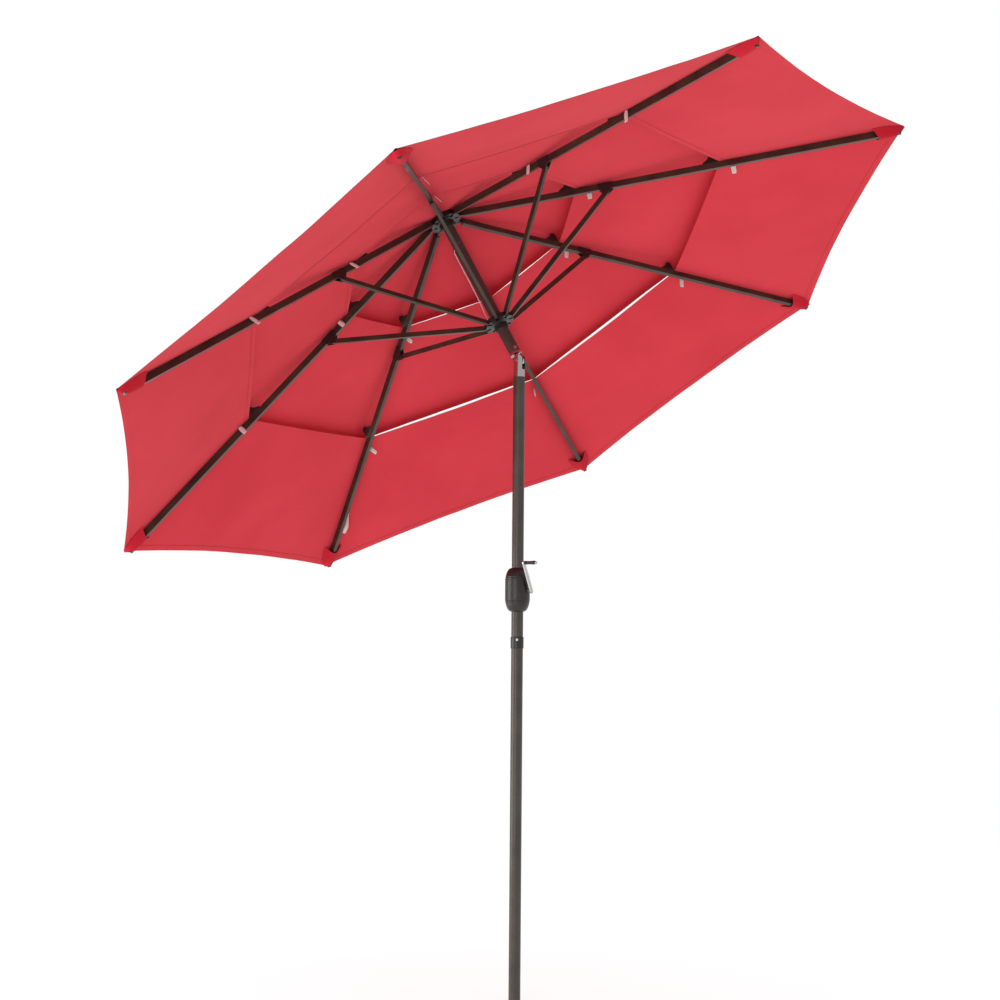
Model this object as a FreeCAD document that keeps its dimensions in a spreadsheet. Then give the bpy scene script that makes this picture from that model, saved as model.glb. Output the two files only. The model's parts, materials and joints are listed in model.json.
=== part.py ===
import FreeCAD, Part
import math
import os
import Sketcher
from FreeCAD import Placement, Rotation, Vector

# A three-tier market umbrella on a two-piece pole, leaning at its push-button tilt joint.
# Row frame: origin at the centre of the pole's foot, +Z up the pole, the canopy leans to -X.
# Millimetres and degrees throughout.

DRIVING_SIZES = {
    # pole
    "pole_diameter": 38.0,
    "tube_wall": 1.5,
    "collar_base": 1111.0,
    "collar_height": 37.0,
    "collar_diameter": 42.0,
    "collar_ledge": 1.2,
    "collar_seat": 0.3,
    "joint_gap": 2.0,
    "pole_top": 1990.0,
    "joiner_length": 100.0,
    "joiner_diameter": 34.6,
    "foot_plug_height": 12.0,
    # crank housing
    "housing_base": 1229.0,
    "housing_height": 141.0,
    "housing_diameter": 80.0,
    "housing_wall": 3.0,
    "crank_height": 1296.0,
    "crank_shaft_diameter": 8.0,
    "crank_arm_reach": 53.0,
    "crank_arm_length": 100.0,
    "crank_arm_angle": 29.0,
    "knob_length": 40.0,
    "knob_diameter": 13.0,
    # tilt joint
    "pivot_height": 2044.0,
    "tilt_angle": 31.0,
    "knuckle_diameter": 37.0,
    "fork_gap": 17.8,
    "tongue_width": 7.0,
    "ratchet_thickness": 2.8,
    "tilt_pin_diameter": 8.0,
    "mast_gap": 30.0,
    # upper mast
    "hub_rise": 572.0,
    "hub_pivot_radius": 45.0,
    "runner_pivot_radius": 43.0,
    "slot_width": 9.2,
    "pivot_wire": 3.0,
    # ribs and struts
    "rib_count": 8.0,
    "rib_slope": 20.0,
    "rib_length": 1470.0,
    "rib_width": 13.0,
    "rib_depth": 21.0,
    "rib_wall": 1.0,
    "strut_joint_reach": 507.0,
    "strut_joint_drop": 20.0,
    "strut_length": 523.0,
    "strut_width": 10.0,
    "strut_depth": 16.0,
    "joint_pin": 4.0,
    # canopy
    "inner_bracket_reach": 381.0,
    "outer_bracket_reach": 862.0,
    "bracket_lift": 34.0,
    "cloth_thickness": 2.0,
    "tier_overlap": 34.0,
    "corner_reach": 1486.0,
}

doc = FreeCAD.newDocument("patio_umbrella")
sheet = doc.addObject("Spreadsheet::Sheet", "dims")
for row, (alias, value) in enumerate(DRIVING_SIZES.items(), start=1):
    sheet.set(f"A{row}", alias)
    sheet.set(f"B{row}", str(value))
    sheet.setAlias(f"B{row}", alias)
doc.recompute()

nodes = {}
X_AXIS, Y_AXIS, Z_AXIS = Vector(1, 0, 0), Vector(0, 1, 0), Vector(0, 0, 1)


def size(alias):
    return float(getattr(sheet, alias))


def value_of(expression):
    """The number that a sheet expression gives; plain numbers pass through."""
    return float(sheet.evalExpression(str(expression)))


def turn(axis, angle):
    return Placement(Vector(), Rotation(axis, angle))


def shift(x=0.0, y=0.0, z=0.0):
    return Placement(Vector(x, y, z), Rotation())


def bind(thing, **expressions):
    for name, expression in expressions.items():
        thing.setExpression(name, str(expression))


def node(name, thing, placement=None):
    """Give a sub-part its Label, which names its file, and its place."""
    thing.Label = name
    if placement is not None:
        thing.Placement = placement.multiply(thing.Placement)
    nodes[name] = thing
    return thing


# ---------------------------------------------------------------- primitives
def cylinder(radius, height, place=None):
    solid = doc.addObject("Part::Cylinder", "cylinder")
    bind(solid, Radius=radius, Height=height)
    solid.Placement = place or Placement()
    return solid


def box(length, width, height, place=None):
    """A box centred on its place in X and Y, standing on it in Z."""
    solid = doc.addObject("Part::Box", "box")
    bind(solid, Length=length, Width=width, Height=height)
    centre = shift(-value_of(length) / 2, -value_of(width) / 2, 0)
    solid.Placement = (place or Placement()).multiply(centre)
    return solid


def torus(ring_radius, wire_radius, place=None):
    solid = doc.addObject("Part::Torus", "torus")
    bind(solid, Radius1=ring_radius, Radius2=wire_radius)
    solid.Placement = place or Placement()
    return solid


def cut(base, *tools):
    for tool in tools:
        result = doc.addObject("Part::Cut", "cut")
        result.Base, result.Tool = base, tool
        base = result
    return base


def fuse(*pieces):
    result = doc.addObject("Part::MultiFuse", "fuse")
    result.Shapes = list(pieces)
    return result


def common(*pieces):
    result = doc.addObject("Part::MultiCommon", "common")
    result.Shapes = list(pieces)
    return result


def group(*pieces):
    """Separate solids kept together in one node."""
    result = doc.addObject("Part::Compound", "group")
    result.Links = list(pieces)
    return result


# ---------------------------------------------------------------- PartDesign helpers
def origin_plane(body, role):
    return next(f for f in body.Origin.OriginFeatures if f.Role == role)


def outline(body, role, points):
    """A closed sketch whose corners are bound, one by one, to sheet expressions."""
    sketch = body.newObject("Sketcher::SketchObject", "outline")
    sketch.AttachmentSupport = [(origin_plane(body, role), "")]
    sketch.MapMode = "FlatFace"
    corners = [Vector(value_of(x), value_of(y), 0) for x, y in points]
    count = len(corners)
    for index in range(count):
        edge = Part.LineSegment(corners[index], corners[(index + 1) % count])
        sketch.addGeometry(edge, False)
    for index in range(count):
        joined = Sketcher.Constraint("Coincident", index, 2, (index + 1) % count, 1)
        sketch.addConstraint(joined)
    for index, (x, y) in enumerate(points):
        for kind, expression in (("DistanceX", x), ("DistanceY", y)):
            number = value_of(expression)
            place = sketch.addConstraint(Sketcher.Constraint(kind, -1, 1, index, 1, number))
            if abs(number) > 1e-9:
                sketch.setExpression(f"Constraints[{place}]", str(expression))
    return sketch


def turned(points):
    """A body turned about Z from an outline of (radius, height) pairs."""
    body = doc.addObject("PartDesign::Body", "turned")
    sketch = outline(body, "XZ_Plane", points)
    feature = body.newObject("PartDesign::Revolution", "revolution")
    feature.Profile = sketch
    feature.ReferenceAxis = (sketch, ["V_Axis"])
    feature.Angle = 360
    return body


def extruded(points, length, role="XZ_Plane"):
    """A body padded both ways from an outline, to the given overall length."""
    body = doc.addObject("PartDesign::Body", "extruded")
    sketch = outline(body, role, points)
    feature = body.newObject("PartDesign::Pad", "pad")
    feature.Profile = sketch
    feature.SideType = "Symmetric"
    feature.setExpression("Length", str(length))
    return body


def tube(outer, inner, length, place=None):
    """A round tube standing on its place."""
    return cut(cylinder(outer, length, place), cylinder(inner, length, place))


def box_section(width, depth, wall, start, end):
    """A hollow rectangular section that runs along +X, centred on it."""
    half = f"({depth}) / 2"
    body = extruded(
        [(start, f"-{half}"), (end, f"-{half}"), (end, half), (start, half)], width)
    hollow = extruded(
        [(f"{start} - 1", f"-{half} + {wall}"), (f"{end} + 1", f"-{half} + {wall}"),
         (f"{end} + 1", f"{half} - {wall}"), (f"{start} - 1", f"{half} - {wall}")],
        f"{width} - 2 * {wall}")
    return cut(body, hollow)


# ---------------------------------------------------------------- shared places
pole_radius = "dims.pole_diameter / 2"
bore_radius = "dims.pole_diameter / 2 - dims.tube_wall"
tilted = shift(z=size("pivot_height")).multiply(turn(Y_AXIS, -size("tilt_angle")))
hub_frame = tilted.multiply(shift(z=size("hub_rise")))
rib_count = int(size("rib_count"))
slope = math.radians(size("rib_slope"))
BUTTON_BEARING = -40.0
SNAP_BEARING = -60.0
CORD_BEARING = 225  # the side of the mast where the pull cord comes out


def rib_bearing(index):
    """Compass angle of a rib about the mast; the lean lies midway between two ribs."""
    step = 360.0 / rib_count
    return step / 2 + index * step


def rib_frame(index):
    """Origin on the hub pivot, +X out along the rib, +Z square off its top."""
    bearing = turn(Z_AXIS, rib_bearing(index))
    pivot = shift(x=size("hub_pivot_radius"))
    return hub_frame.multiply(bearing).multiply(pivot).multiply(turn(Y_AXIS, size("rib_slope")))


def strut_joint():
    """Radius and drop below the hub pivots of the strut's upper joint."""
    reach, drop = size("strut_joint_reach"), size("strut_joint_drop")
    radius = size("hub_pivot_radius") + reach * math.cos(slope) - drop * math.sin(slope)
    return radius, reach * math.sin(slope) + drop * math.cos(slope)


def runner_drop():
    """How far the runner's pivots are below the hub's, from the strut's length."""
    radius, drop = strut_joint()
    span = radius - size("runner_pivot_radius")
    return drop + math.sqrt(size("strut_length") ** 2 - span ** 2)


def strut_frame(index):
    """Origin on the strut's upper joint, +X along it towards the runner."""
    radius, drop = strut_joint()
    span = radius - size("runner_pivot_radius")
    dip = math.degrees(math.atan2(runner_drop() - drop, span))
    bearing = turn(Z_AXIS, rib_bearing(index))
    return hub_frame.multiply(bearing).multiply(shift(radius, 0, -drop)).multiply(
        turn(Y_AXIS, 180.0 - dip))


# ---------------------------------------------------------------- pole
def make_pole():
    """The lower section, and the upper one with the swaged end that plugs into it.

    A ledge inside the collar sits between the two sections' ends."""
    top_of_lower = "dims.collar_base + dims.collar_height - 3"
    snap_height = size("collar_base") + size("collar_height") - 9
    snap = shift(z=snap_height).multiply(turn(Z_AXIS, SNAP_BEARING)).multiply(turn(Y_AXIS, 90))
    seat = f"{pole_radius} - dims.collar_seat"
    lower = turned([(bore_radius, 0), (pole_radius, 0), (pole_radius, "dims.collar_base - 2"),
                    (seat, "dims.collar_base - 1.7"), (seat, top_of_lower), (bore_radius, top_of_lower)])
    node("lower_pole", cut(lower, cylinder(4.4, 30, snap)))
    plug = turned([(0, 1), (f"{bore_radius} - 0.3", 1),
                   (f"{bore_radius} - 0.3", "dims.foot_plug_height"),
                   (f"{bore_radius} - 3", "dims.foot_plug_height"),
                   (f"{bore_radius} - 3", 3.5), (0, 3.5)])
    node("foot_plug", plug)

    joiner = "dims.joiner_diameter / 2"
    swage_base = f"{top_of_lower} - dims.joiner_length"
    shoulder = f"{top_of_lower} + dims.joint_gap"
    upper = turned([
        (f"{joiner} - dims.tube_wall", swage_base), (joiner, swage_base),
        (joiner, f"{shoulder}"), (pole_radius, f"{shoulder}"),
        (pole_radius, "dims.pole_top"), (bore_radius, "dims.pole_top"),
        (bore_radius, f"{shoulder} + 1.2"), (f"{joiner} - dims.tube_wall", f"{shoulder} + 1.2")])
    crank_hole = cylinder(5, 30, shift(z=size("crank_height")).multiply(turn(Y_AXIS, 90)))
    back_hole = cylinder(5, 30, shift(z=size("crank_height")).multiply(turn(Y_AXIS, -90)))
    node("upper_pole", cut(upper, cylinder(4.4, 30, snap), crank_hole, back_hole))

    collar_bore = f"{pole_radius} + 0.1"
    collar_radius = "dims.collar_diameter / 2"
    collar_top = "dims.collar_base + dims.collar_height"
    ledge_base = f"{top_of_lower} + (dims.joint_gap - dims.collar_ledge) / 2"
    collar = turned([
        (collar_bore, "dims.collar_base"), (f"{collar_radius} - 0.8", "dims.collar_base"),
        (collar_radius, "dims.collar_base + 1.2"), (collar_radius, f"{collar_top} - 1.2"),
        (f"{collar_radius} - 0.8", collar_top), (collar_bore, collar_top),
        (collar_bore, f"{ledge_base} + dims.collar_ledge"),
        (f"{joiner} + 0.2", f"{ledge_base} + dims.collar_ledge"),
        (f"{joiner} + 0.2", ledge_base), (collar_bore, ledge_base)])
    node("pole_collar", cut(collar, cylinder(4.6, 30, snap)))

    button = fuse(cylinder(4.0, 9.0, shift(z=14.0)), cylinder(5.4, 1.4, shift(z=12.8)))
    node("snap_button", button, snap)
    bow = cut(cylinder("dims.joiner_diameter / 2 - 4.6", 9), cylinder("dims.joiner_diameter / 2 - 5.6", 9))
    leaf = common(bow, box(40, 40, 9, shift(x=10.5)))
    node("snap_spring", leaf, shift(z=snap_height - 4.5).multiply(turn(Z_AXIS, SNAP_BEARING)))


# ---------------------------------------------------------------- crank
def housing_outline():
    """The egg-shaped casing: rounded ends, two grooves near each, hollow inside."""
    base, height = "dims.housing_base", "dims.housing_height"
    radius = "dims.housing_diameter / 2"
    steps = [(20.0, 0.0), (24.0, 1.5), (30.0, 6.5), (35.0, 13.0), (38.4, 21.0), (39.6, 27.0)]
    lower = [(f"{radius} - {40.0 - r}", f"{base} + {z}") for r, z in steps]
    grooves = []
    for z in (29.0, 35.0):
        grooves += [(radius, f"{base} + {z}"), (f"{radius} - 1.2", f"{base} + {z + 1.2}"),
                    (radius, f"{base} + {z + 2.4}")]
    upper = [(r, f"2 * ({base}) + {height} - ({z})") for r, z in reversed(lower + grooves)]
    inner = f"{pole_radius} + 0.15"
    wall = "dims.housing_wall"
    cavity = [(inner, f"{base} + {height} - 6"), (f"{radius} - 12", f"{base} + {height} - 16"),
              (f"{radius} - 1.2 - {wall}", f"{base} + {height} - 32"),
              (f"{radius} - 1.2 - {wall}", f"{base} + 32"),
              (f"{radius} - 12", f"{base} + 16"), (inner, f"{base} + 6")]
    return [(inner, base)] + lower + grooves + upper + [(inner, f"{base} + {height}")] + cavity


def make_crank():
    shaft_place = shift(z=size("crank_height")).multiply(turn(Y_AXIS, 90))
    for name, side in (("crank_housing_front", 1), ("crank_housing_back", -1)):
        shell = turned(housing_outline())
        half = box(60, 120, 200, shift(x=side * 30.1, z=size("housing_base") - 20))
        piece = common(shell, half)
        if side > 0:
            piece = fuse(piece, cut(cylinder(11, 9.6, shaft_place.multiply(shift(z=34.4))),
                                    cylinder(5, 20, shaft_place.multiply(shift(z=30)))))
            piece = cut(piece, cylinder(4.6, 40, shaft_place.multiply(shift(z=22))))
        node(name, piece)
    node("cord_spool", fuse(
        cylinder("dims.crank_shaft_diameter / 2", "dims.crank_arm_reach + 24",
                 shaft_place.multiply(shift(z=-24))),
        cylinder(8, 18, shaft_place.multiply(shift(z=-9))),
        cylinder(13, 2, shaft_place.multiply(shift(z=-11))),
        cylinder(13, 2, shaft_place.multiply(shift(z=9)))))

    arm_length = size("crank_arm_length")
    swing = shift(x=size("crank_arm_reach"), z=size("crank_height")).multiply(
        turn(X_AXIS, size("crank_arm_angle")))
    blade = extruded([(-6.5, 0), (-5.5, "dims.crank_arm_length"), (5.5, "dims.crank_arm_length"),
                      (6.5, 0)], 3.2, "YZ_Plane")
    flat = turn(Y_AXIS, 90)
    foot = cylinder(8, 7, shift(x=-3.5).multiply(flat))
    eye = cylinder(5.5, 3.2, shift(x=-1.6, z=arm_length).multiply(flat))
    arm = cut(fuse(blade, foot, eye),
              cylinder("dims.crank_shaft_diameter / 2", 20, shift(x=-10).multiply(flat)),
              cylinder(2.6, 20, shift(x=-10, z=arm_length).multiply(flat)))
    node("crank_arm", arm, swing)
    pin = fuse(cylinder(2.5, "dims.knob_length + 6", shift(x=-2.6, z=arm_length).multiply(flat)),
               cylinder(5, 3, shift(x=size("knob_length") + 3.4, z=arm_length).multiply(flat)))
    node("knob_pin", pin, swing)
    knob_radius = "dims.knob_diameter / 2"
    knob = turned([(2.6, 0), (f"{knob_radius} - 1.8", 0), (f"{knob_radius} - 0.3", 3),
                   (f"{knob_radius} - 1.2", 10), (f"{knob_radius} - 0.8", "dims.knob_length - 12"),
                   (knob_radius, "dims.knob_length - 5"),
                   (f"{knob_radius} - 1", "dims.knob_length - 1"),
                   (f"{knob_radius} - 2.2", "dims.knob_length"), (2.6, "dims.knob_length")])
    node("crank_knob", knob, swing.multiply(shift(x=2.6, z=arm_length)).multiply(flat))


# ---------------------------------------------------------------- tilt joint
def make_tilt_joint():
    knuckle = "dims.knuckle_diameter / 2"
    across = turn(X_AXIS, 90)
    rise = size("pivot_height") - size("pole_top")
    lower = turned([(0, -40), (f"{bore_radius} - 0.1", -40), (f"{bore_radius} - 0.1", 0),
                    (knuckle, 0), (knuckle, rise + 18.5), (0, rise + 18.5)])
    slot = box(60, "dims.fork_gap", 60, shift(z=24))
    rounded = fuse(box(60, 60, rise + 40, shift(z=-40)),
                   cylinder(18.5, 60, shift(y=30, z=rise).multiply(across)))
    fork = cut(common(lower, rounded), slot,
               cylinder("dims.tilt_pin_diameter / 2 + 0.05", 60, shift(y=30, z=rise).multiply(across)))
    node("tilt_fork", fork, shift(z=size("pole_top")))

    pin_half = f"{knuckle} + 1.2"
    pin = cylinder("dims.tilt_pin_diameter / 2", f"2 * ({pin_half})",
                   shift(y=value_of(pin_half)).multiply(across))
    node("tilt_pin", pin, tilted)

    gap = "dims.mast_gap"
    half_tongue = size("tongue_width") / 2
    tongue = fuse(box(34, "dims.tongue_width", 24),
                  cylinder(17, "dims.tongue_width", shift(y=half_tongue).multiply(across)))
    head = turned([(0, 22), (knuckle, 22), (knuckle, f"{gap} - 0.2"),
                   (f"{bore_radius} - 0.1", f"{gap} - 0.2"), (f"{bore_radius} - 0.1", f"{gap} + 30"),
                   (0, f"{gap} + 30")])
    button_bore = shift(z=size("mast_gap") + 11).multiply(turn(Z_AXIS, BUTTON_BEARING)).multiply(
        turn(Y_AXIS, 90))
    head = cut(fuse(tongue, head), cylinder(4.4, 30, button_bore.multiply(shift(z=6))),
               cylinder("dims.tilt_pin_diameter / 2 + 0.05", 60, shift(y=30).multiply(across)))
    node("tilt_tongue", head, tilted)
    ratchet = []
    thickness = size("ratchet_thickness")
    for y in (half_tongue + 0.3 + thickness, -half_tongue - 0.3):
        disc = cut(cylinder(14.5, "dims.ratchet_thickness", shift(y=y).multiply(across)),
                   cylinder("dims.tilt_pin_diameter / 2 + 0.03", 60, shift(y=30).multiply(across)))
        ratchet.append(disc)
    node("tilt_ratchet", group(*ratchet), tilted)

    cap = fuse(cylinder(3.9, 12.2, shift(z=8.6)), cylinder(5.6, 1.6, shift(z=19.2)))
    node("tilt_button", cap, tilted.multiply(button_bore))
    coil = cut(cylinder(3.4, 2.2, shift(z=6.2)), cylinder(2.2, 2.2, shift(z=6.2)))
    node("button_spring", coil, tilted.multiply(button_bore))
    return button_bore


# ---------------------------------------------------------------- mast, hub and runner
def slotted_ring(pivot_radius, rim, half_height, inner):
    """A ring with one radial slot for each rib or strut and a channel for its pivot wire."""
    ring = cut(cylinder(rim, 2 * half_height, shift(z=-half_height)),
               cylinder(inner, 2 * half_height, shift(z=-half_height)))
    for index in range(rib_count):
        bearing = turn(Z_AXIS, rib_bearing(index))
        ring = cut(ring, box(40, "dims.slot_width", 60, bearing.multiply(shift(33 + 20, 0, -30))))
    return cut(ring, torus(pivot_radius, "dims.pivot_wire / 2 + 0.1"))


def make_mast(button_bore):
    mast_length = size("hub_rise") - size("mast_gap") + 6
    mast = tube(pole_radius, bore_radius, mast_length, shift(z=size("mast_gap")))
    mast = cut(mast, cylinder(6, 30, button_bore.multiply(shift(z=6))))
    cord_hole = shift(z=size("hub_rise") - 115.5).multiply(turn(Z_AXIS, CORD_BEARING)).multiply(
        turn(Y_AXIS, 90))
    pulley_hole = shift(z=size("hub_rise") - 104).multiply(turn(Z_AXIS, CORD_BEARING)).multiply(
        turn(X_AXIS, 90)).multiply(shift(z=-30))
    node("upper_mast", cut(mast, cylinder(4.5, 30, cord_hole), cylinder(2.03, 60, pulley_hole)), tilted)

    sleeve = turned([(f"{pole_radius} + 0.1", -30), (24, -30), (27, -12), (34, -10), (34, 10),
                     (26, 12), (24, 17.6), (5.2, 17.6), (5.2, 6.2), (f"{pole_radius} + 0.1", 6.2)])
    ring = slotted_ring("dims.hub_pivot_radius", 52, 9, 30)
    hub = fuse(cut(sleeve, torus("dims.hub_pivot_radius", "dims.pivot_wire / 2 + 0.1")), ring)
    node("top_hub", hub, hub_frame)
    node("hub_wire", torus("dims.hub_pivot_radius", "dims.pivot_wire / 2"), hub_frame)

    finial = turned([(0, 6.6), (5.0, 6.6), (5.0, 21.6), (23, 21.6), (25, 23.5), (23.5, 26), (16, 29),
                     (12.5, 34), (13, 40), (16.5, 46), (17.5, 52), (15.5, 59), (10, 64.5), (0, 67)])
    node("finial", finial, hub_frame)
    pulley = turned([(2.1, -3), (11, -3), (11, -2), (8.5, -0.8), (8.5, 0.8), (11, 2), (11, 3), (2.1, 3)])
    pulley_seat = hub_frame.multiply(shift(z=-104)).multiply(turn(Z_AXIS, CORD_BEARING)).multiply(
        turn(X_AXIS, 90))
    node("cord_pulley", pulley, pulley_seat)
    pulley_pin = cylinder(2, "dims.pole_diameter - 0.4", shift(z=-size("pole_diameter") / 2 + 0.2))
    node("pulley_pin", pulley_pin, pulley_seat)

    seat = hub_frame.multiply(shift(z=-runner_drop()))
    bore = f"{pole_radius} + 0.4"
    body = turned([(bore, -33), (22, -33), (23, -31), (23, -12), (27, -10), (33.5, -8), (33.5, 8),
                   (26, 10), (23.5, 14), (bore, 14)])
    rim = slotted_ring("dims.runner_pivot_radius", 50, 8, 28)
    runner = fuse(cut(body, torus("dims.runner_pivot_radius", "dims.pivot_wire / 2 + 0.1")), rim)
    node("runner", runner, seat)
    node("runner_wire", torus("dims.runner_pivot_radius", "dims.pivot_wire / 2"), seat)


def make_pull_cord():
    """The lifting cord: out of the mast, down beside it, then out to the runner's rim."""
    radius = 1.75
    ring = runner_drop()
    route = [Vector(16, 0, -112), Vector(24, 0, -124), Vector(25, 0, -170), Vector(24.5, 0, -250),
             Vector(26, 0, -330), Vector(30, 0, -370), Vector(31, 0, -ring + 10.6)]
    edges, start = [], route[0]
    for before, corner, after in zip(route, route[1:], route[2:]):
        into, away = corner - before, after - corner
        turn_angle = into.getAngle(away)
        reach = 0.45 * min(into.Length, away.Length)
        bend = reach / math.tan(turn_angle / 2)
        print("cord bend radius", round(bend, 1))
        first = corner - Vector(into).normalize() * reach
        last = corner + Vector(away).normalize() * reach
        bisector = (Vector(away).normalize() - Vector(into).normalize()).normalize()
        sag = bend / math.cos(turn_angle / 2) - bend
        edges.append(Part.LineSegment(start, first).toShape())
        edges.append(Part.Arc(first, corner + bisector * sag, last).toShape())
        start = last
    edges.append(Part.LineSegment(start, route[-1]).toShape())
    path = Part.Wire(edges)
    section = Part.Wire([Part.Circle(route[0], route[1] - route[0], radius).toShape()])
    solid = path.makePipeShell([section], True, False)
    cord = doc.addObject("Part::Feature", "cord")
    cord.Shape = solid
    print("cord volume ratio", round(solid.Volume / (math.pi * radius ** 2 * path.Length), 4))
    node("pull_cord", cord, hub_frame.multiply(turn(Z_AXIS, CORD_BEARING)))


# ---------------------------------------------------------------- ribs and struts
def make_rib(index):
    frame = rib_frame(index)
    tube_start, tube_end = 24.0, "dims.rib_length"
    rib = box_section("dims.rib_width", "dims.rib_depth", "dims.rib_wall", tube_start, tube_end)
    node(f"rib_{index + 1}", rib, frame)

    across = turn(X_AXIS, 90)
    drop = "dims.strut_joint_drop"
    reach = size("strut_joint_reach")
    pivot = shift(reach, 0, -size("strut_joint_drop"))
    root = cut(fuse(cylinder(7.5, 8, shift(y=4).multiply(across)),
                    box(34, 8, 15, shift(x=17, z=-7.5)),
                    box(20, "dims.rib_width - 2 * dims.rib_wall - 0.2",
                        "dims.rib_depth - 2 * dims.rib_wall - 0.2",
                        shift(x=34, z=-(size("rib_depth") / 2 - size("rib_wall") - 0.1)))),
               cylinder("dims.pivot_wire / 2 + 0.4", 20, shift(y=10).multiply(across)))
    cheeks = []
    for side in (-1, 1):
        plate = extruded([(-26, 8), (26, 8), (26, -9), (8, f"-{drop} - 4"), (4, f"-{drop} - 8"),
                          (-4, f"-{drop} - 8"), (-8, f"-{drop} - 4"), (-26, -9)], 1.5)
        plate.Placement = shift(x=reach, y=side * 7.35)
        cheeks.append(plate)
    strap = box(52, 16.2, 1.2, shift(x=reach, z=size("rib_depth") / 2 + 0.02))
    clevis = cut(fuse(*cheeks, fuse(strap, *[
        box(52, 1.5, 6, shift(x=reach, y=side * 7.35, z=size("rib_depth") / 2 - 4.8)) for side in (-1, 1)])),
        cylinder("dims.joint_pin / 2", 30, pivot.multiply(shift(y=15)).multiply(across)))
    rivet = fuse(cylinder("dims.joint_pin / 2", 18.6, pivot.multiply(shift(y=9.3)).multiply(across)),
                 cylinder(3.6, 1.2, pivot.multiply(shift(y=9.4)).multiply(across)),
                 cylinder(3.6, 1.2, pivot.multiply(shift(y=-8.2)).multiply(across)))
    brackets = [tier_bracket(size(name)) for name in ("inner_bracket_reach", "outer_bracket_reach")]
    length = size("rib_length")
    cap = fuse(box(16, "dims.rib_width - 2 * dims.rib_wall - 0.2",
                   "dims.rib_depth - 2 * dims.rib_wall - 0.2",
                   shift(x=length - 8, z=-(size("rib_depth") / 2 - size("rib_wall") - 0.1))),
               box(4, "dims.rib_width", "dims.rib_depth", shift(x=length + 2, z=-size("rib_depth") / 2)))
    node(f"rib_fittings_{index + 1}", group(root, clevis, rivet, *brackets, cap), frame)


def tier_bracket(reach):
    """A moulded wedge on top of the rib that holds the next tier's edge up off it."""
    lift = "dims.bracket_lift"
    top = "dims.rib_depth / 2 + 0.05"
    wedge = extruded([(-30, top), (22, top), (22, f"{top} + 6"), (12, f"{top} + {lift} - 4"),
                      (6, f"{top} + {lift}"), (-4, f"{top} + {lift} - 2"), (-14, f"{top} + 14"),
                      (-30, f"{top} + 4")], 12)
    wedge.Placement = shift(x=reach)
    return wedge


def make_strut(index):
    length, across = size("strut_length"), turn(X_AXIS, 90)
    radius, drop = strut_joint()
    dip = math.atan2(runner_drop() - drop, radius - size("runner_pivot_radius"))
    tube_piece = fuse(
        box_section("dims.strut_width", "dims.strut_depth", "dims.rib_wall", 0, "dims.strut_length - 12"),
        cut(cylinder("dims.strut_depth / 2", "dims.strut_width", shift(y=5).multiply(across)),
            box(20, 20, 20, shift(x=10, z=-10))))
    tube_piece = cut(tube_piece, cylinder("dims.joint_pin / 2 + 0.06", 30, shift(y=15).multiply(across)))
    tongue_depth = size("strut_depth") - 2 * size("rib_wall") - 0.1
    tongue = box(46, "dims.strut_width - 2 * dims.rib_wall - 0.1", tongue_depth,
                 shift(x=length - 23, z=-tongue_depth / 2))
    # the tongue stops just outside the runner's pivot wire, on a face parallel to the mast
    trim = shift(x=length).multiply(turn(Y_AXIS, math.degrees(dip))).multiply(shift(x=26, z=-40))
    node(f"strut_{index + 1}", group(tube_piece, cut(tongue, box(60, 40, 80, trim))), strut_frame(index))


# ---------------------------------------------------------------- canopy
def rib_point(reach, lift):
    """Radius and height above the hub pivots of a point over the rib."""
    radius = size("hub_pivot_radius") + reach * math.cos(slope) + lift * math.sin(slope)
    return radius, -reach * math.sin(slope) + lift * math.cos(slope)


def cloth_panel(inner, outer):
    """One tier of one sector: folded over its rib, and flat from there to each side."""
    half_step = math.pi / rib_count
    gap = 0.6

    def section(radius, height):
        """Ridge and side points, under and over, at one end of the tier."""
        along = radius * math.cos(half_step) ** 2 + gap * math.sin(half_step)
        side = radius * math.cos(half_step) * math.sin(half_step) - gap * math.cos(half_step)
        under = [Vector(along, -side, height), Vector(radius, 0, height), Vector(along, side, height)]
        up = Vector(0, 0, size("cloth_thickness"))
        return under + [point + up for point in reversed(under)]

    first, last = section(*inner), section(*outer)
    faces = [Part.Face(Part.makePolygon(ring + ring[:1])) for ring in (
        [first[0], first[1], first[4], first[5]], [first[1], first[2], first[3], first[4]],
        [last[0], last[1], last[4], last[5]], [last[1], last[2], last[3], last[4]])]
    for index in range(6):
        after = (index + 1) % 6
        faces.append(Part.Face(Part.makePolygon(
            [first[index], first[after], last[after], last[index], first[index]])))
    return Part.Solid(Part.Shell(faces))


def over_bracket(start, bracket_reach, end_reach):
    """Ends of a tier's ridge: straight from its start over the bracket's top, and past it."""
    top = rib_point(bracket_reach + 6, size("rib_depth") / 2 + size("bracket_lift") + 1.2)
    run = (end_reach - bracket_reach - 6) * math.cos(slope)
    fall = (top[1] - start[1]) / (top[0] - start[0])
    return start, (top[0] + run, top[1] + run * fall)


def make_canopy_sector(index):
    base = size("rib_depth") / 2 + 1.6
    overlap = size("tier_overlap")
    inner, outer = size("inner_bracket_reach"), size("outer_bracket_reach")
    crown = (24.0, 18.8)
    tiers = [
        cloth_panel(*over_bracket(crown, inner, inner + 24 + overlap)),
        cloth_panel(*over_bracket(rib_point(inner + 27, base), outer, outer + 24 + overlap)),
        cloth_panel(rib_point(outer + 27, base), rib_point(size("corner_reach"), base + 2)),
    ]
    sector = doc.addObject("Part::Feature", "sector")
    sector.Shape = Part.Compound(tiers)
    node(f"canopy_sector_{index + 1}", sector, hub_frame.multiply(turn(Z_AXIS, rib_bearing(index))))


make_pole()
make_crank()
bore_place = make_tilt_joint()
make_mast(bore_place)
make_pull_cord()
for number in range(rib_count):
    make_rib(number)
    make_strut(number)
    make_canopy_sector(number)

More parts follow.
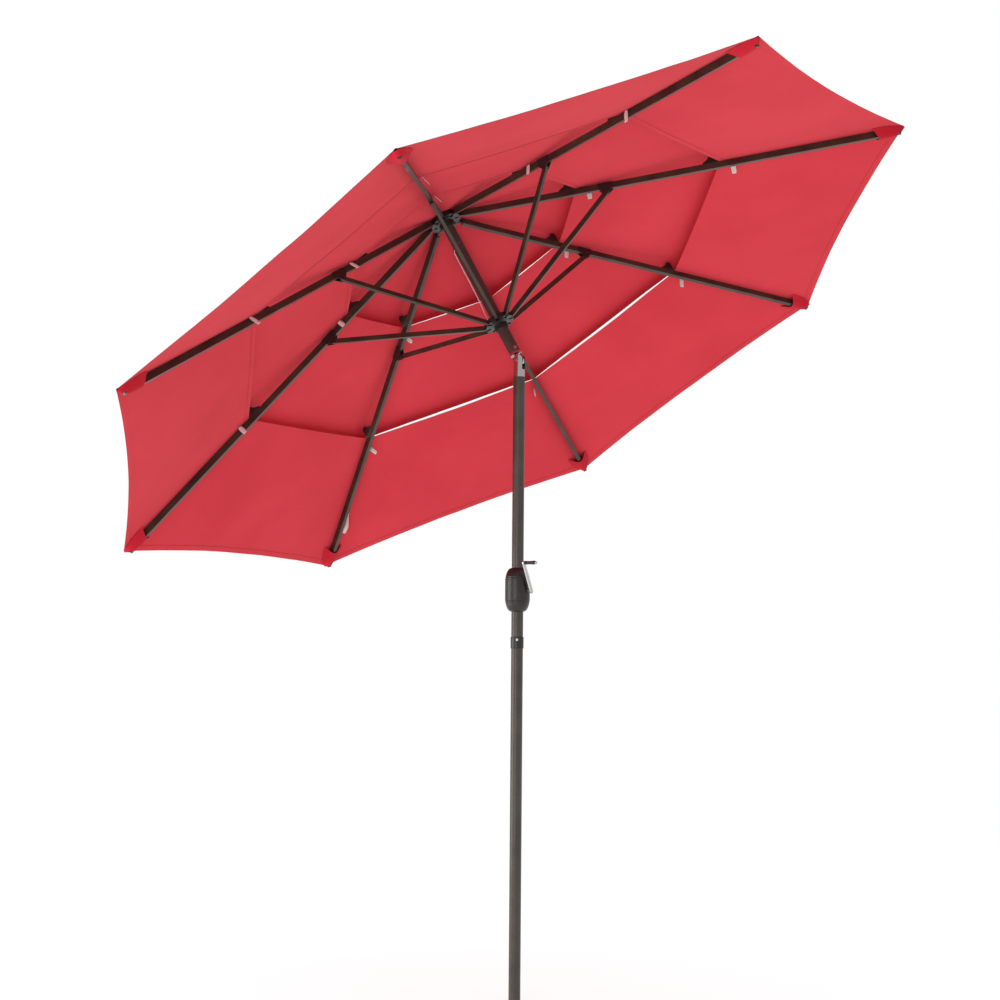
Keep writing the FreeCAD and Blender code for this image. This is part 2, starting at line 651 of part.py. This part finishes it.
doc.recompute()
for thing in doc.Objects:
    if "Invalid" in thing.State or "Error" in thing.State:
        raise RuntimeError(f"{thing.Label} failed: {thing.State}")
for name, thing in nodes.items():
    if thing.Shape.isNull() or not thing.Shape.isValid():
        raise RuntimeError(f"{name} has no valid shape")

os.makedirs("parts", exist_ok=True)
for name, thing in nodes.items():
    thing.Shape.exportStep(f"parts/{name}.step")
print(len(nodes), "nodes; runner drop", round(runner_drop(), 2))
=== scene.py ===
import bmesh
import bpy
import json
import math
from mathutils import Matrix, Vector, noise

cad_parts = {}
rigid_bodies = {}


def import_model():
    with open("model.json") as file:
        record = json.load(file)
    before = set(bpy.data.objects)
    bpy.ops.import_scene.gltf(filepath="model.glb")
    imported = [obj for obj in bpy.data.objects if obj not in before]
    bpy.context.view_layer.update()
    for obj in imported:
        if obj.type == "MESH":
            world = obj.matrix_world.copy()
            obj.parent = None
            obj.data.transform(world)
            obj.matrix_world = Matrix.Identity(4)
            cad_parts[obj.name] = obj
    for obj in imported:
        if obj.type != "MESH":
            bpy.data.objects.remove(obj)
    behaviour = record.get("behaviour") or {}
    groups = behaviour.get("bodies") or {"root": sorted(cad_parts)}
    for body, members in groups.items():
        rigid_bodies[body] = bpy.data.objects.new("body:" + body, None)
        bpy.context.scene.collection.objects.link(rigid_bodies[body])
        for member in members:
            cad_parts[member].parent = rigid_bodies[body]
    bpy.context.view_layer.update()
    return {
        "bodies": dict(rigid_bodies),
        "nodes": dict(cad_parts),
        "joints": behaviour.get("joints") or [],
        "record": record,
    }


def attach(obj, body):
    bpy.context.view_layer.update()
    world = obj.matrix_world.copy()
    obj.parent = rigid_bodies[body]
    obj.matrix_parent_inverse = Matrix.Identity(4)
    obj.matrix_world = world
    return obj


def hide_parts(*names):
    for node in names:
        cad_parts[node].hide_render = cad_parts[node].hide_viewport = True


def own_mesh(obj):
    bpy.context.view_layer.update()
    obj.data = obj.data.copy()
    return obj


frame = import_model()

# Metres throughout. The places of the canopy and the crank come from the record's joints.
joints = {joint["name"]: joint for joint in frame["joints"]}
RIB_COUNT = sum(name.startswith("rib_") for name in frame["bodies"])
UP = -Vector(joints["runner_slide"]["axis"])  # up the leaning mast
PIVOTS = [Vector(joints[f"rib_{i + 1}_fold"]["pos_m"]) for i in range(RIB_COUNT)]
TANGENTS = [Vector(joints[f"rib_{i + 1}_fold"]["axis"]) for i in range(RIB_COUNT)]
HUB = sum(PIVOTS, Vector()) / RIB_COUNT
OUT = [tangent.cross(UP) for tangent in TANGENTS]
HUB_RADIUS = (PIVOTS[0] - HUB).length
CRANK = Vector(joints["crank_turn"]["pos_m"])

SLOPE = math.radians(20)  # how far the ribs fall from the mast's square
RIB_TOP = 0.0105  # from the rib's centre line to its top
INNER_BRACKET = 0.381  # places along a rib, from its pivot
OUTER_BRACKET = 0.862
CORNER = 1.486  # where the cloth's corner is
BRACKET_LIFT = 0.034  # from the rib's top to the bracket's
TIER_START = 0.026  # a tier starts this far outside the bracket under it
TIER_END = 0.066  # and ends this far outside the bracket that carries it
CLOTH = 0.0009  # the gap from a sheet to a trim sewn on it
TAPE = 0.0009  # a tape's thickness


# ---------------------------------------------------------------- materials
def material(name):
    """A new node material; returns it with its tree, its Principled shader and an adder of nodes."""
    made = bpy.data.materials.new(name)
    made.use_nodes = True
    tree = made.node_tree
    shader = tree.nodes["Principled BSDF"]

    def add(kind, inputs=(), **settings):
        item = tree.nodes.new(kind)
        for key, value in settings.items():
            setattr(item, key, value)
        for key, value in dict(inputs).items():
            if isinstance(value, bpy.types.NodeSocket):
                tree.links.new(value, item.inputs[key])
            else:
                item.inputs[key].default_value = value
        return item

    return made, tree, shader, add


def ramp(add, source, low, high, start=0.35, end=0.65):
    """Two colours across a factor."""
    item = add("ShaderNodeValToRGB", {"Fac": source})
    item.color_ramp.elements[0].position, item.color_ramp.elements[1].position = start, end
    item.color_ramp.elements[0].color, item.color_ramp.elements[1].color = low, high
    return item.outputs["Color"]


def rgba(red, green, blue):
    return (red, green, blue, 1.0)


def cloth_material(name, dark, light, weave=0.35):
    """Plain-woven polyester: warp and weft bump, slubs, and soft tone changes."""
    made, tree, shader, add = material(name)
    place = add("ShaderNodeTexCoord").outputs["Object"]
    blotch = add("ShaderNodeTexNoise", {"Vector": place, "Scale": 3.2, "Detail": 4.0})
    fine = add("ShaderNodeTexNoise", {"Vector": place, "Scale": 190.0, "Detail": 2.0})
    tone = ramp(add, blotch.outputs["Fac"], dark, light, 0.3, 0.7)
    slub = add("ShaderNodeMixRGB", {"Fac": 0.10, "Color1": tone}, blend_type="OVERLAY")
    tree.links.new(fine.outputs["Color"], slub.inputs["Color2"])
    tree.links.new(slub.outputs["Color"], shader.inputs["Base Color"])
    warp = add("ShaderNodeTexWave", {"Vector": place, "Scale": 330.0, "Distortion": 0.6},
               bands_direction="X")
    weft = add("ShaderNodeTexWave", {"Vector": place, "Scale": 330.0, "Distortion": 0.6},
               bands_direction="Y")
    woven = add("ShaderNodeMath", {0: warp.outputs["Fac"], 1: weft.outputs["Fac"]}, operation="ADD")
    rumple = add("ShaderNodeTexNoise", {"Vector": place, "Scale": 7.0, "Detail": 5.0})
    height = add("ShaderNodeMath", {0: woven.outputs[0], 1: weave}, operation="MULTIPLY")
    height = add("ShaderNodeMath", {0: height.outputs[0], 1: rumple.outputs["Fac"]}, operation="ADD")
    bump = add("ShaderNodeBump", {"Height": height.outputs[0], "Strength": 0.12, "Distance": 0.004})
    tree.links.new(bump.outputs["Normal"], shader.inputs["Normal"])
    shader.inputs["Roughness"].default_value = 0.85
    shader.inputs["Specular IOR Level"].default_value = 0.12
    shader.inputs["Sheen Weight"].default_value = 0.03
    shader.inputs["Sheen Roughness"].default_value = 0.5
    return made


def paint_material(name, dark, light, roughness=0.42):
    """Powder coat: fine orange peel, faint mottling and a little wear in the gloss."""
    made, tree, shader, add = material(name)
    place = add("ShaderNodeTexCoord").outputs["Object"]
    mottle = add("ShaderNodeTexNoise", {"Vector": place, "Scale": 14.0, "Detail": 6.0})
    tree.links.new(ramp(add, mottle.outputs["Fac"], dark, light), shader.inputs["Base Color"])
    peel = add("ShaderNodeTexNoise", {"Vector": place, "Scale": 900.0, "Detail": 2.0})
    bump = add("ShaderNodeBump", {"Height": peel.outputs["Fac"], "Strength": 0.10, "Distance": 0.0006})
    tree.links.new(bump.outputs["Normal"], shader.inputs["Normal"])
    gloss = add("ShaderNodeMapRange", {"Value": mottle.outputs["Fac"], "To Min": roughness - 0.07,
                                       "To Max": roughness + 0.10})
    tree.links.new(gloss.outputs["Result"], shader.inputs["Roughness"])
    shader.inputs["Metallic"].default_value = 0.35
    shader.inputs["Coat Weight"].default_value = 0.15
    return made


def plastic_material(name, dark, light, roughness=0.5):
    """Moulded plastic with a fine grained skin."""
    made, tree, shader, add = material(name)
    place = add("ShaderNodeTexCoord").outputs["Object"]
    grain = add("ShaderNodeTexVoronoi", {"Vector": place, "Scale": 700.0})
    tone = add("ShaderNodeTexNoise", {"Vector": place, "Scale": 22.0, "Detail": 3.0})
    tree.links.new(ramp(add, tone.outputs["Fac"], dark, light), shader.inputs["Base Color"])
    bump = add("ShaderNodeBump", {"Height": grain.outputs["Distance"], "Strength": 0.12,
                                  "Distance": 0.0005})
    tree.links.new(bump.outputs["Normal"], shader.inputs["Normal"])
    shader.inputs["Roughness"].default_value = roughness
    return made


def metal_material(name, tint, roughness, streak=60.0):
    """Bright metal with fine polishing lines and slightly uneven gloss."""
    made, tree, shader, add = material(name)
    place = add("ShaderNodeTexCoord").outputs["Object"]
    squeeze = add("ShaderNodeMapping", {"Vector": place, "Scale": (streak, streak, streak * 9)})
    lines = add("ShaderNodeTexNoise", {"Vector": squeeze.outputs["Vector"], "Scale": 5.0, "Detail": 4.0})
    gloss = add("ShaderNodeMapRange", {"Value": lines.outputs["Fac"], "To Min": roughness * 0.6,
                                       "To Max": roughness * 1.5})
    tree.links.new(gloss.outputs["Result"], shader.inputs["Roughness"])
    darker = rgba(*(channel * 0.82 for channel in tint[:3]))
    tree.links.new(ramp(add, lines.outputs["Fac"], darker, tint), shader.inputs["Base Color"])
    bump = add("ShaderNodeBump", {"Height": lines.outputs["Fac"], "Strength": 0.05, "Distance": 0.0004})
    tree.links.new(bump.outputs["Normal"], shader.inputs["Normal"])
    shader.inputs["Metallic"].default_value = 1.0
    return made


RED = cloth_material("canopy_red", rgba(0.60, 0.036, 0.052), rgba(0.67, 0.046, 0.062))
DARK_RED = cloth_material("pocket_red", rgba(0.46, 0.010, 0.022), rgba(0.58, 0.018, 0.034), 0.5)
# Dark red for the binding, stitching and seams, and for the painted shadow line along a lower tier's inner
# edge.
PIPING_AND_SHADOW = cloth_material("piping_and_shadow_red", rgba(0.30, 0.005, 0.012), rgba(0.38, 0.008, 0.018), 0.6)
PINK_TAPE = cloth_material("pink_tape", rgba(0.70, 0.40, 0.38), rgba(0.85, 0.62, 0.60), 0.8)
WHITE_TAPE = cloth_material("white_tape", rgba(0.70, 0.62, 0.60), rgba(0.82, 0.76, 0.74), 0.8)
CORD = cloth_material("cord_braid", rgba(0.62, 0.46, 0.44), rgba(0.78, 0.64, 0.62), 0.8)
POLE_PAINT = paint_material("pole_paint", rgba(0.052, 0.043, 0.036), rgba(0.072, 0.060, 0.050))
RIB_PAINT = paint_material("rib_paint", rgba(0.036, 0.024, 0.018), rgba(0.058, 0.044, 0.028), 0.34)
BLACK = plastic_material("dark_plastic", rgba(0.008, 0.007, 0.007), rgba(0.014, 0.012, 0.011), 0.34)
BROWN = plastic_material("housing_plastic", rgba(0.012, 0.010, 0.009), rgba(0.020, 0.017, 0.014), 0.34)
CHROME = metal_material("chrome", rgba(0.60, 0.61, 0.61), 0.08)
BRIGHT = metal_material("bright_metal", rgba(0.78, 0.78, 0.77), 0.24)
STEEL = metal_material("steel", rgba(0.50, 0.49, 0.48), 0.32)

SLOT_MATERIALS = {
    "canopy_cloth": RED, "pole_paint": POLE_PAINT, "rib_paint": RIB_PAINT, "dark_plastic": BLACK,
    "chrome": CHROME, "bright_metal": BRIGHT, "steel": STEEL, "cord": CORD,
}


# ---------------------------------------------------------------- making pieces
def piece(name, mesh, look, body, smooth=True):
    """A visible piece that rides on a body."""
    made = bpy.data.objects.new(name, mesh)
    bpy.context.scene.collection.objects.link(made)
    mesh.materials.append(look)
    if smooth:
        mesh.shade_smooth()
    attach(made, body)
    return made


def grid_mesh(name, columns):
    """A mesh sheet through equal columns of points."""
    mesh = bpy.data.meshes.new(name)
    tall = len(columns[0])
    points = [point for column in columns for point in column]
    faces = [(c * tall + r, (c + 1) * tall + r, (c + 1) * tall + r + 1, c * tall + r + 1)
             for c in range(len(columns) - 1) for r in range(tall - 1)]
    mesh.from_pydata(points, [], faces)
    mesh.update()
    return mesh


def thicken(made, thickness, offset=0.0):
    modifier = made.modifiers.new("thickness", "SOLIDIFY")
    modifier.thickness = thickness
    modifier.offset = offset
    return made


# ---------------------------------------------------------------- canopy
def rib_point(reach, lift):
    """Radius and height, from the hub pivots' plane, of a point over a rib."""
    radius = HUB_RADIUS + reach * math.cos(SLOPE) + lift * math.sin(SLOPE)
    return radius, -reach * math.sin(SLOPE) + lift * math.cos(SLOPE)


def over_bracket(start, bracket):
    """A tier's ridge from its start, straight over a bracket's top, to its outer hem."""
    top = rib_point(bracket + 0.006, RIB_TOP + BRACKET_LIFT + 0.0021)
    run = (TIER_END - 0.006) * math.cos(SLOPE)
    fall = (top[1] - start[1]) / (top[0] - start[0])
    return start, (top[0] + run, top[1] + run * fall)


BASE_LIFT = RIB_TOP + 0.0024
TIERS = {
    "top": dict(ends=over_bracket((0.024, 0.0198), INNER_BRACKET), bow=0.004, sag=0.005,
                rows=22, keep=0.30),
    "middle": dict(ends=over_bracket(rib_point(INNER_BRACKET + TIER_START, BASE_LIFT), OUTER_BRACKET),
                   bow=0.008, sag=0.008, rows=30, keep=0.18),
    "outer": dict(ends=(rib_point(OUTER_BRACKET + TIER_START, BASE_LIFT),
                        rib_point(CORNER, BASE_LIFT + 0.002)), bow=0.032, sag=0.013, rows=34, keep=0.14),
}
HALF_COLUMNS = 18
# Widths of the bound edge, the folded cloth and the stitching; on a facing the bound edge is a dark painted
# shadow line along the tier's inner edge.
RIM_HEM = (0.006, 0.016, 0.0022)
TIER_HEM = (0.0025, 0.016, 0.0018)
FACING = (0.0022, 0.014, 0.0018)


def tier_length(tier):
    (r0, z0), (r1, z1) = tier["ends"]
    return math.hypot(r1 - r0, z1 - z0)


def cloth_point(index, side, tier, along, across, below=0.0):
    """A point of a tier: along from its inner edge to its hem, across from rib to mid-panel."""
    (r0, z0), (r1, z1) = tier["ends"]
    ease = across * (2 - across)
    share = along * (1 - tier["bow"] * ease / tier_length(tier))
    radius, height = r0 + (r1 - r0) * share, z0 + (z1 - z0) * share
    near, far = OUT[index], OUT[(index + side) % RIB_COUNT]
    spot = HUB + UP * height + radius * ((1 - across / 2) * near + across / 2 * far)
    sag = tier["sag"] * ease * (0.35 + 0.65 * math.sin(math.pi * min(max(along, 0), 1)))
    ripple = noise.noise(spot * 4.0) * 0.0030 + noise.noise(spot * 13.0) * 0.0008
    taut = noise.noise(Vector((along * 1.5, across * 9.0, index + side * 0.5))) * 0.0012
    return spot - UP * (sag + below - ripple * ease - taut * ease * (1 - across))


def sector_mesh(index, tier, stops, below=0.0, half=HALF_COLUMNS, reach=1.0):
    """One eighth of a tier at the given stops along it; when it reaches mid-panel, its two cut edges share
    the neighbours' normals, so that no line shows there."""
    columns = []
    for step in range(-half, half + 1):
        side, across = (1 if step >= 0 else -1), abs(step) / half * reach
        columns.append([cloth_point(index, side, tier, stop, across, below) for stop in stops])
    mesh = grid_mesh("cloth", columns)
    mesh.shade_smooth()
    normals = [Vector()] * len(mesh.vertices)
    for column, side in ((0, -1), (2 * half, 1)):
        across = OUT[(index + side) % RIB_COUNT] - OUT[index]
        for row, stop in enumerate(stops):
            slope = (cloth_point(index, side, tier, stop + 0.01, reach)
                     - cloth_point(index, side, tier, stop - 0.01, reach))
            normal = (slope.cross(across) * side).normalized()
            flat = mesh.vertices[column * len(stops) + row].normal
            normals[column * len(stops) + row] = normal if normal.dot(flat) > 0 else -normal
    if reach == 1.0:
        mesh.normals_split_custom_set_from_vertices(normals)
    return mesh


def fold_with(made):
    """Gives a cloth piece its own copy of its mesh."""
    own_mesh(made)


def cloth_piece(name, mesh, index, look=RED):
    made = piece(name, mesh, look, f"rib_{index + 1}", smooth=False)
    fold_with(made)
    return made


def stitched_band(name, index, tier, widths, edge, sign):
    """A hem: bound edge, folded cloth and a row of stitching, side by side from the edge inwards. The edge
    row and the stitching are dark; on a facing the dark edge row is a painted shadow line.
    """
    stops = [edge]
    for width in widths:
        stops.append(stops[-1] + sign * width / tier_length(tier))
    order = sorted(stops)
    mesh = sector_mesh(index, tier, order, CLOTH * 1.2)
    band = cloth_piece(name, mesh, index)
    mesh.materials.append(PIPING_AND_SHADOW)
    dark = {0, 2}  # the dark rows: the binding (on a facing, a painted shadow line) and the stitching
    per_column = len(order) - 1
    for face in mesh.polygons:
        row = face.index % per_column
        row = row if sign > 0 else per_column - 1 - row
        face.material_index = 1 if row in dark else 0
    return band


def make_tier(index, name, tier):
    stops = [row / tier["rows"] for row in range(tier["rows"] + 1)]
    sheet = cloth_piece(f"cloth_{name}_{index + 1}", sector_mesh(index, tier, stops), index)
    hem = RIM_HEM if name == "outer" else TIER_HEM
    trims = [stitched_band(f"hem_{name}_{index + 1}", index, tier, hem, 1.0, -1)]
    if name != "top":
        # the facing's dark edge row is a painted shadow line along the tier's inner edge
        trims.append(stitched_band(f"facing_{name}_{index + 1}", index, tier, FACING, 0.0, 1))
    seam = sector_mesh(index, tier, stops, -CLOTH * 1.2, half=2, reach=0.010)
    trims.append(cloth_piece(f"seam_{name}_{index + 1}", seam, index, PIPING_AND_SHADOW))
    return sheet


def rib_frame_point(index, reach, side_shift, lift):
    """A place given along, beside and above a rib."""
    radius, height = rib_point(reach, lift)
    return HUB + UP * height + OUT[index] * radius + TANGENTS[index] * side_shift


def make_pocket(index):
    """The corner pocket: cloth taken round under the rib's end and sewn in at the corner.
    A stage is a place along the rib, the pocket's half width there, the half width of its
    flat underside, and that side's depth under the rib's centre line."""
    tier = TIERS["outer"]
    rings = []
    stages = ((1.402, 0.044, 0.010, 0.0150), (1.408, 0.043, 0.010, 0.0150), (1.440, 0.040, 0.010, 0.0150),
              (1.462, 0.034, 0.009, 0.0135), (1.474, 0.026, 0.008, 0.0080), (1.482, 0.018, 0.006, -0.0040),
              (1.488, 0.008, 0.004, -0.0100))
    for reach, wide, narrow, deep in stages:
        along = (reach - OUTER_BRACKET - TIER_START) / (CORNER - OUTER_BRACKET - TIER_START)
        ring = []
        for side, share in ((-1, 1.0), (-1, 0.8), (-1, 0.25), (0, 0), (1, 0.25), (1, 0.8), (1, 1.0)):
            if share >= 0.8:
                radius = rib_point(reach, BASE_LIFT)[0]
                across = wide * share / (radius * math.sin(math.pi / RIB_COUNT))
                ring.append(cloth_point(index, side, tier, along, across, 0.0016 if share == 1.0 else 0.004))
            else:
                crease = noise.noise(Vector((reach * 60, side * 3.0, index))) * 0.0022
                ring.append(rib_frame_point(index, reach, side * narrow, -deep + crease))
        rings.append(ring)
    mesh = grid_mesh("pocket", rings)
    mesh.shade_smooth()
    pocket = cloth_piece(f"corner_pocket_{index + 1}", mesh, index, DARK_RED)
    made = pocket.modifiers.new("round", "SUBSURF")
    made.levels = made.render_levels = 2
    return pocket


def ribbon(name, path, width_along, look, index):
    """A strip of tape through the given places, its width along the given direction."""
    rows = [[place - width_along * 0.5, place + width_along * 0.5] for place in path]
    strip = piece(name, grid_mesh("tape", rows), look, f"rib_{index + 1}")
    return thicken(strip, TAPE)


LOOP_SIDES = {3: -1, 7: -1}  # the ribs whose tape loops lie on the other side
LOOP_OFFSET = 0.066  # from a bracket outwards
LOOP_WIDTH = 0.011
LOOP_STEPS = 14
STRAP_RIB = 3
STRAP_START = 1.225
STRAP_LENGTH = 0.085
STRAP_STEPS = 14


def make_loops(index):
    """White tape loops hanging beside the rib just outside each bracket."""
    side = LOOP_SIDES.get(index, 1)
    along_rib = (OUT[index] - UP * 0.36).normalized()
    for name, bracket, drop in (("inner", INNER_BRACKET, 0.030), ("outer", OUTER_BRACKET, 0.036)):
        path = []
        for turn in range(LOOP_STEPS + 1):
            angle = 2 * math.pi * turn / LOOP_STEPS
            along = bracket + LOOP_OFFSET + math.sin(angle) * 0.0026
            away = 0.0155 + 0.0055 * (1 - math.cos(angle))
            lift = 0.009 - drop * (1 - math.cos(angle)) / 2
            path.append(rib_frame_point(index, along, side * away, lift))
        ribbon(f"{name}_loop_{index + 1}", path, along_rib * LOOP_WIDTH, WHITE_TAPE, index)


def make_strap(index):
    """The tie strap, tacked beside one rib."""
    path = []
    for step in range(STRAP_STEPS + 1):
        share = step / STRAP_STEPS
        lift = 0.006 - 0.020 * share + 0.004 * math.sin(7 * share)
        beside = -0.013 - 0.004 * math.sin(4 * share)
        path.append(rib_frame_point(index, STRAP_START + STRAP_LENGTH * share, beside, lift))
    wide = (TANGENTS[index] + UP * 0.8).normalized() * 0.016
    ribbon("tie_strap", path, wide, PINK_TAPE, index)


def make_canopy():
    for index in range(RIB_COUNT):
        sheets = [make_tier(index, name, tier) for name, tier in TIERS.items()]
        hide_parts(f"canopy_sector_{index + 1}")
        make_pocket(index)
        make_loops(index)
    make_strap(STRAP_RIB)


# ---------------------------------------------------------------- crank
ARM_REACH = 0.053  # from the pole's axis to the arm's back
ARM_LENGTH = 0.100
ARM_LEAN = math.radians(29)  # the arm stands up, this far towards -Y
ARM_FRONT, ARM_THICKNESS = 0.0016, 0.0040


def ordered_mesh(name, work):
    """A mesh from an edit mesh, its faces in the same order on every run."""
    verts = list(work.verts)
    order = {vert: place for place, vert in enumerate(verts)}
    faces = []
    for face in work.faces:
        ring = [order[vert] for vert in face.verts]
        first = ring.index(min(ring))
        faces.append(ring[first:] + ring[:first])
    mesh = bpy.data.meshes.new(name)
    mesh.from_pydata([vert.co for vert in verts], [], sorted(faces))
    mesh.update()
    return mesh


def make_crank_arm():
    """A die-cast arm with raised edges, from the shaft up to the knob."""
    outline = [(-0.0088, 0.0), (-0.0062, -0.0066), (0.0, -0.0092), (0.0062, -0.0066), (0.0088, 0.0),
               (0.0072, ARM_LENGTH), (0.0050, ARM_LENGTH + 0.0052), (0.0, ARM_LENGTH + 0.0072),
               (-0.0050, ARM_LENGTH + 0.0052), (-0.0072, ARM_LENGTH)]
    work = bmesh.new()
    face = work.faces.new([work.verts.new((ARM_FRONT, y, z)) for y, z in outline])
    grown = bmesh.ops.extrude_face_region(work, geom=[face])["geom"]
    back = [item for item in grown if isinstance(item, bmesh.types.BMVert)]
    bmesh.ops.translate(work, vec=(-ARM_THICKNESS, 0, 0), verts=back)
    bmesh.ops.recalc_face_normals(work, faces=work.faces)
    front = max(work.faces, key=lambda side: side.calc_center_median().x)
    bmesh.ops.inset_region(work, faces=[front], thickness=0.0022)
    for vert in front.verts:
        vert.co.x -= 0.0014
    mesh = ordered_mesh("crank_arm", work)
    work.free()
    place = Matrix.Translation(CRANK + Vector((ARM_REACH, 0, 0)))
    mesh.transform(place @ Matrix.Rotation(ARM_LEAN, 4, "X"))
    arm = piece("crank_arm_casting", mesh, BRIGHT, "crank", smooth=False)
    edge = arm.modifiers.new("edges", "BEVEL")
    edge.width, edge.segments, edge.limit_method = 0.0007, 3, "ANGLE"
    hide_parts("crank_arm")


HOUSING_HEIGHT = 0.141
HOUSING_RADIUS = 0.040
CRANK_DROP = 0.0035  # from the housing's middle down to the crank's axis
HOUSING_MOUTH = 0.0195  # the radius at both ends
HOUSING_END = 0.045  # how far each rounded end reaches
HOUSING_RINGS = 96
HOUSING_SIDES = 96
GROOVES = (0.031, 0.036, 0.105, 0.110)  # heights of the ring grooves over the housing's foot


def make_housing():
    """The egg-shaped crank housing, turned, with two pairs of lipped ring grooves."""
    foot = CRANK.z + CRANK_DROP - HOUSING_HEIGHT / 2
    profile = []
    for step in range(HOUSING_RINGS + 1):
        height = step / HOUSING_RINGS * HOUSING_HEIGHT
        end = min(height, HOUSING_HEIGHT - height) / HOUSING_END
        swell = math.sqrt(max(0.0, 1 - (1 - min(end, 1)) ** 2))
        radius = HOUSING_MOUTH + (HOUSING_RADIUS - HOUSING_MOUTH) * swell
        dent = sum(math.exp(-((height - groove) / 0.0009) ** 2) for groove in GROOVES)
        lip = sum(math.exp(-((height - groove) / 0.0024) ** 2) for groove in GROOVES)
        profile.append((radius - 0.0026 * dent + 0.0012 * lip, foot + height))
    mesh = bpy.data.meshes.new("housing")
    around = HOUSING_SIDES
    turns = [2 * math.pi * side / around for side in range(around)]
    points = [(radius * math.cos(turn), radius * math.sin(turn), height)
              for radius, height in profile for turn in turns]
    faces = [(r * around + a, r * around + (a + 1) % around, (r + 1) * around + (a + 1) % around,
              (r + 1) * around + a) for r in range(len(profile) - 1) for a in range(around)]
    mesh.from_pydata(points, [], faces)
    mesh.update()
    shell = thicken(piece("crank_housing_shell", mesh, BROWN, "pole"), 0.002, -1.0)
    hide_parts("crank_housing_front", "crank_housing_back")


# ---------------------------------------------------------------- stage, light and camera
FLOOR_SIZE = 120.0
ROOM_LIGHT = 0.58


def make_stage():
    mesh = bpy.data.meshes.new("floor")
    half = FLOOR_SIZE / 2
    corners = [(-half, -half, 0), (half, -half, 0), (half, half, 0), (-half, half, 0)]
    mesh.from_pydata(corners, [], [(0, 1, 2, 3)])
    floor = bpy.data.objects.new("floor", mesh)
    bpy.context.scene.collection.objects.link(floor)
    made, _, shader, _ = material("floor_paint")
    shader.inputs["Base Color"].default_value = rgba(0.42, 0.42, 0.42)
    shader.inputs["Roughness"].default_value = 0.9
    shader.inputs["Specular IOR Level"].default_value = 0.0
    shader.inputs["Emission Color"].default_value = rgba(1.0, 1.0, 1.0)
    shader.inputs["Emission Strength"].default_value = 0.76
    mesh.materials.append(made)
    floor.location.z = -0.001

    world = bpy.data.worlds.new("studio")
    world.use_nodes = True
    backdrop = world.node_tree.nodes["Background"]
    backdrop.inputs["Color"].default_value = rgba(1.0, 1.0, 1.0)
    # the camera sees white; the object is lit by a dimmer room
    seen = world.node_tree.nodes.new("ShaderNodeLightPath")
    level = world.node_tree.nodes.new("ShaderNodeMapRange")
    level.inputs["To Min"].default_value, level.inputs["To Max"].default_value = ROOM_LIGHT, 1.0
    world.node_tree.links.new(seen.outputs["Is Camera Ray"], level.inputs["Value"])
    world.node_tree.links.new(level.outputs["Result"], backdrop.inputs["Strength"])
    bpy.context.scene.world = world
    bpy.context.scene.view_settings.view_transform = "Standard"


def area_light(name, place, target, size, power):
    data = bpy.data.lights.new(name, "AREA")
    data.size, data.energy = size, power
    lamp = bpy.data.objects.new(name, data)
    lamp.location = place
    lamp.rotation_euler = (Vector(target) - Vector(place)).to_track_quat("-Z", "Y").to_euler()
    bpy.context.scene.collection.objects.link(lamp)


def make_lights():
    area_light("low_left", (-3.2, -2.6, 0.5), (0.3, 0.2, 2.5), 2.6, 95)
    area_light("front", (0.6, -5.2, 1.0), (0.3, 0.4, 2.6), 2.0, 40)
    area_light("top", (0.5, 1.5, 6.0), (-0.3, 0, 2.4), 3.0, 40)


VIEW_AZIMUTH = 31.44
CAMERA_DISTANCE = 6.597
CAMERA_HEIGHT = 1.078
CAMERA_PITCH = 4.43
CAMERA_YAW = 0.51
CAMERA_ROLL = -0.48
FOCAL_LENGTH = 73.75  # millimetres, on a 36 mm sensor


def make_camera():
    data = bpy.data.cameras.new("camera")
    data.lens, data.sensor_width = FOCAL_LENGTH, 36.0
    camera = bpy.data.objects.new("camera", data)
    round_pole = Matrix.Rotation(math.radians(VIEW_AZIMUTH), 4, "Z")
    place = Matrix.Translation((0, -CAMERA_DISTANCE, CAMERA_HEIGHT))
    aim = (Matrix.Rotation(math.radians(CAMERA_YAW), 4, "Z")
           @ Matrix.Rotation(math.radians(CAMERA_PITCH), 4, "X")
           @ Matrix.Rotation(math.radians(CAMERA_ROLL), 4, "Y"))
    level = Matrix.Rotation(math.radians(90), 4, "X")
    camera.matrix_world = round_pole @ place @ aim @ level
    bpy.context.scene.collection.objects.link(camera)
    bpy.context.scene.camera = camera


def dress_cad_nodes():
    """Each CAD node gets its slot's material."""
    slots = {part["node"]: part["material_slot"] for part in frame["record"]["subparts"]}
    for name, node in frame["nodes"].items():
        node.data.materials.clear()
        node.data.materials.append(SLOT_MATERIALS[slots[name]])


make_camera()
make_stage()
make_lights()
dress_cad_nodes()
make_canopy()
make_crank_arm()
make_housing()
